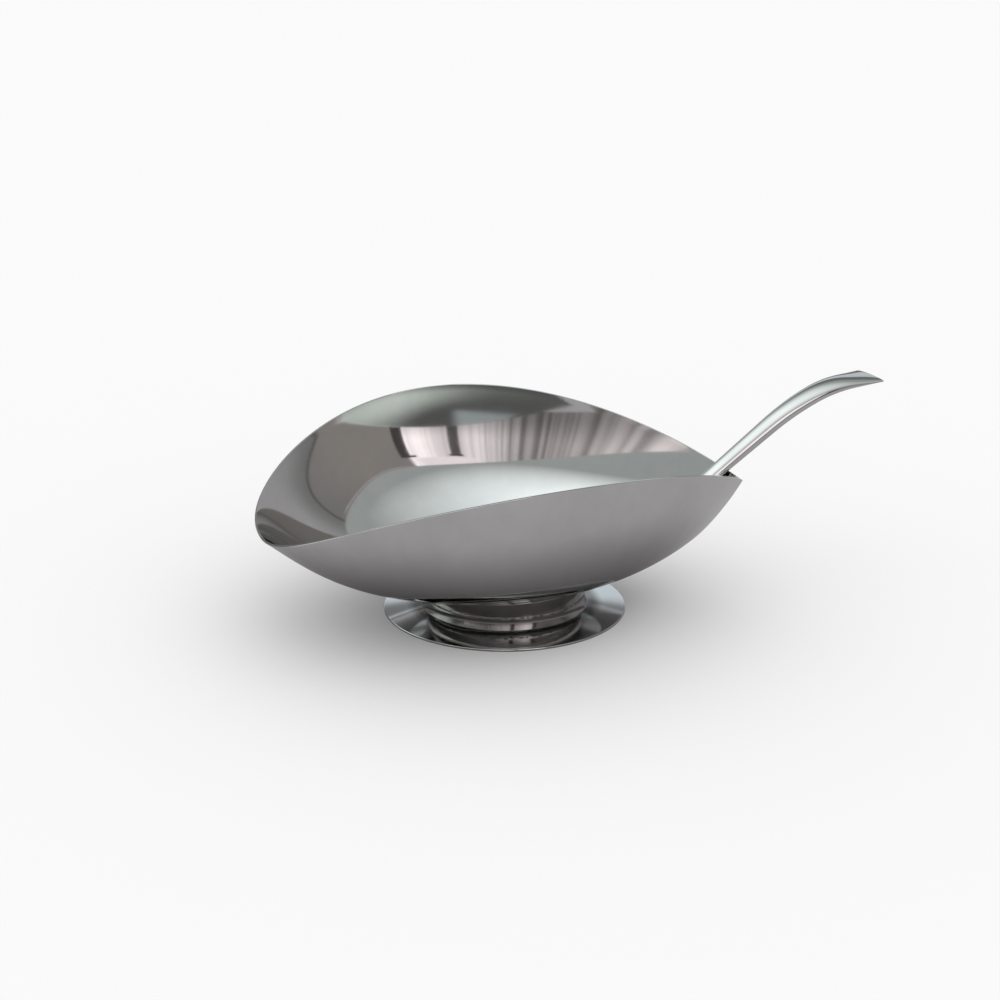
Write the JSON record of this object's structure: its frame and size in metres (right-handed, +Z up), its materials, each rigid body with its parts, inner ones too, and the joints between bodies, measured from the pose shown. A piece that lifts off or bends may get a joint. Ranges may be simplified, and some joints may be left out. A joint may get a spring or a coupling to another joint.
{
  "type": "gravy boat",
  "caption": "Open leaf-shaped steel sauce bowl with a rising rim and pointed pouring lip, on a round flanged foot, holding a loose ladle with a curved widening handle.",
  "frame": {"origin": "centre of the foot's resting ring, on the surface it stands on", "axes": "+X from the rounded end to the pouring lip, +Z up, +Y to the left of the lip; the boat is symmetric about the XZ plane"},
  "size_m": [0.2825, 0.1646, 0.0864],
  "materials": {
    "polished_steel": "mirror polished stainless steel",
    "braze": "smoothed silver-coloured braze"
  },
  "bodies": {
    "boat": {"bowl_shell": "polished_steel", "pedestal_foot": "polished_steel", "foot_braze_seam": "braze"},
    "ladle": {"ladle_bowl": "polished_steel", "ladle_handle": "polished_steel", "ladle_braze_seam": "braze"}
  },
  "joints": [
    {"name": "ladle_lift", "type": "slide", "parent": "boat", "child": "ladle", "axis": [0, 0, 1], "range_m": [0, 0.12]}
  ]
}
